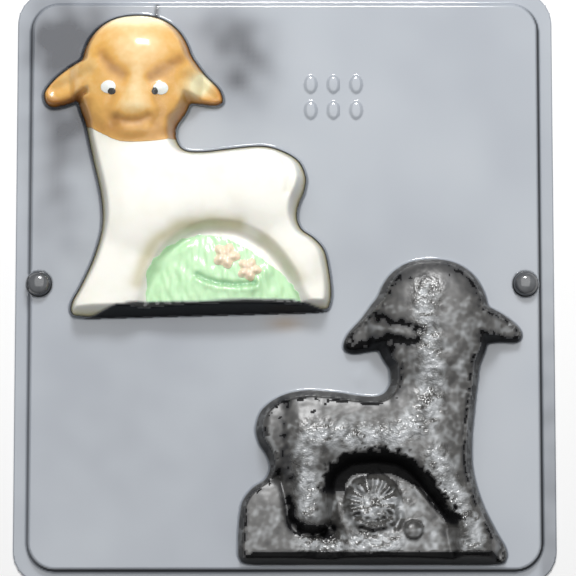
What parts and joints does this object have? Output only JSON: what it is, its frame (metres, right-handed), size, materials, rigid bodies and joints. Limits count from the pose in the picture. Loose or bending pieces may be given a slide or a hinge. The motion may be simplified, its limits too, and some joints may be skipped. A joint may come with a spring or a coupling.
{
  "type": "chocolate mould",
  "caption": "Clear thermoformed chocolate mould sheet for a standing lamb: the front half holds a coloured casting, the back half is empty, and round buttons locate the halves.",
  "frame": {"origin": "middle of the sheet, on the plane that its flange rests on", "axes": "+Z out of the raised side, +Y along the length towards the front lamb's head, +X to the right"},
  "size_m": [0.203, 0.225, 0.0234],
  "materials": {
    "clear_plastic": "clear glossy thermoformed sheet",
    "ivory_coating": "smooth ivory confectionery coating",
    "caramel_coating": "smooth caramel confectionery coating",
    "green_coating": "smooth pale green confectionery coating",
    "peach_coating": "smooth peach confectionery coating",
    "white_coating": "smooth white confectionery coating",
    "dark_coating": "smooth dark confectionery coating"
  },
  "bodies": {
    "casting": {"lamb_body_fill": "ivory_coating", "face_layer": "caramel_coating", "grass_layer": "green_coating", "left_flower": "peach_coating", "right_flower": "peach_coating", "left_eye_white": "white_coating", "right_eye_white": "white_coating", "left_pupil": "dark_coating", "right_pupil": "dark_coating"},
    "mould": {"mould_sheet": "clear_plastic"}
  },
  "joints": [
    {"name": "mould_lift", "type": "slide", "parent": "casting", "child": "mould", "axis": [0, 0, 1], "range_m": [0, 0.03]}
  ]
}
